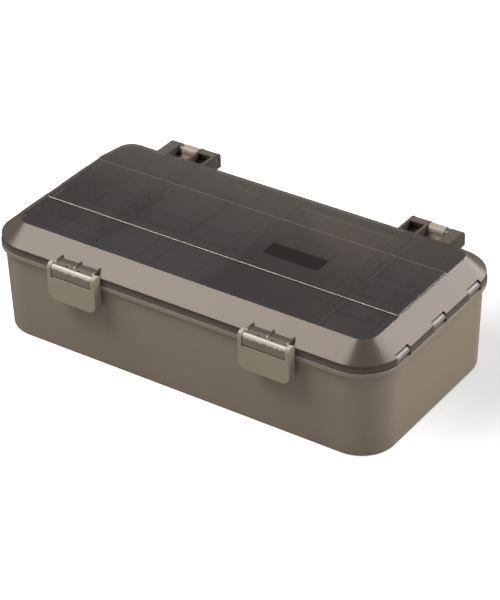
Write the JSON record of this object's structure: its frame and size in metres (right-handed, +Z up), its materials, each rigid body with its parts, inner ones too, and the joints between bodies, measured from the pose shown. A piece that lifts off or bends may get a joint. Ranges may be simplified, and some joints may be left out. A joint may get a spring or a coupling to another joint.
{
  "type": "fishing tackle box",
  "caption": "Flat plastic tackle box with a hinged clear compartment lid, two front latches and a deep undivided tray.",
  "frame": {"origin": "centre of the tray's flat underside, on the surface it stands on", "axes": "+X along the length to the right seen from the latches, -Y towards the latches, +Z up"},
  "size_m": [0.35, 0.2019, 0.0941],
  "materials": {
    "base_shell": "satin, fine moulded grain",
    "lid_shell": "clear, smoke-tinted",
    "middle_organiser": "clear, smoke-tinted",
    "end_organiser_left": "clear, smoke-tinted",
    "end_organiser_right": "clear, smoke-tinted",
    "middle_cover": "clear, smoke-tinted",
    "end_cover_left": "clear, smoke-tinted",
    "end_cover_right": "clear, smoke-tinted",
    "latch_left": "satin",
    "latch_right": "satin",
    "hinge_pin_left": "plain",
    "hinge_pin_right": "plain",
    "latch_pin_left": "plain",
    "latch_pin_right": "plain",
    "cover_pin_left": "plain",
    "cover_pin_right": "plain"
  },
  "bodies": {
    "tray": {"base_shell": "base_shell", "hinge_pin_left": "hinge_pin_left", "hinge_pin_right": "hinge_pin_right"},
    "lid": {"lid_shell": "lid_shell", "middle_organiser": "middle_organiser", "end_organiser_left": "end_organiser_left", "end_organiser_right": "end_organiser_right", "latch_pin_left": "latch_pin_left", "latch_pin_right": "latch_pin_right", "cover_pin_left": "cover_pin_left", "cover_pin_right": "cover_pin_right"},
    "latch_left": {"latch_left": "latch_left"},
    "latch_right": {"latch_right": "latch_right"},
    "end_cover_left": {"end_cover_left": "end_cover_left"},
    "end_cover_right": {"end_cover_right": "end_cover_right"},
    "middle_cover": {"middle_cover": "middle_cover"}
  },
  "joints": [
    {"name": "lid_hinge", "type": "hinge", "parent": "tray", "child": "lid", "pos_m": [0, 0.0991, 0.0827], "axis": [-1, 0, 0], "range_deg": [0, 105]},
    {"name": "latch_left_pivot", "type": "hinge", "parent": "lid", "child": "latch_left", "pos_m": [-0.0855, -0.0936, 0.0803], "axis": [-1, 0, 0], "range_deg": [0, 110]},
    {"name": "end_cover_left_pivot", "type": "hinge", "parent": "lid", "child": "end_cover_left", "pos_m": [-0.1712, 0, 0.0778], "axis": [0, 1, 0], "range_deg": [0, 43]},
    {"name": "latch_right_pivot", "type": "hinge", "parent": "lid", "child": "latch_right", "pos_m": [0.0855, -0.0936, 0.0803], "axis": [-1, 0, 0], "range_deg": [0, 110]},
    {"name": "end_cover_right_pivot", "type": "hinge", "parent": "lid", "child": "end_cover_right", "pos_m": [0.1712, 0, 0.0778], "axis": [0, -1, 0], "range_deg": [0, 43]},
    {"name": "middle_cover_removal", "type": "slide", "parent": "lid", "child": "middle_cover", "axis": [0, 0, -1], "range_m": [0, 0.05]}
  ]
}
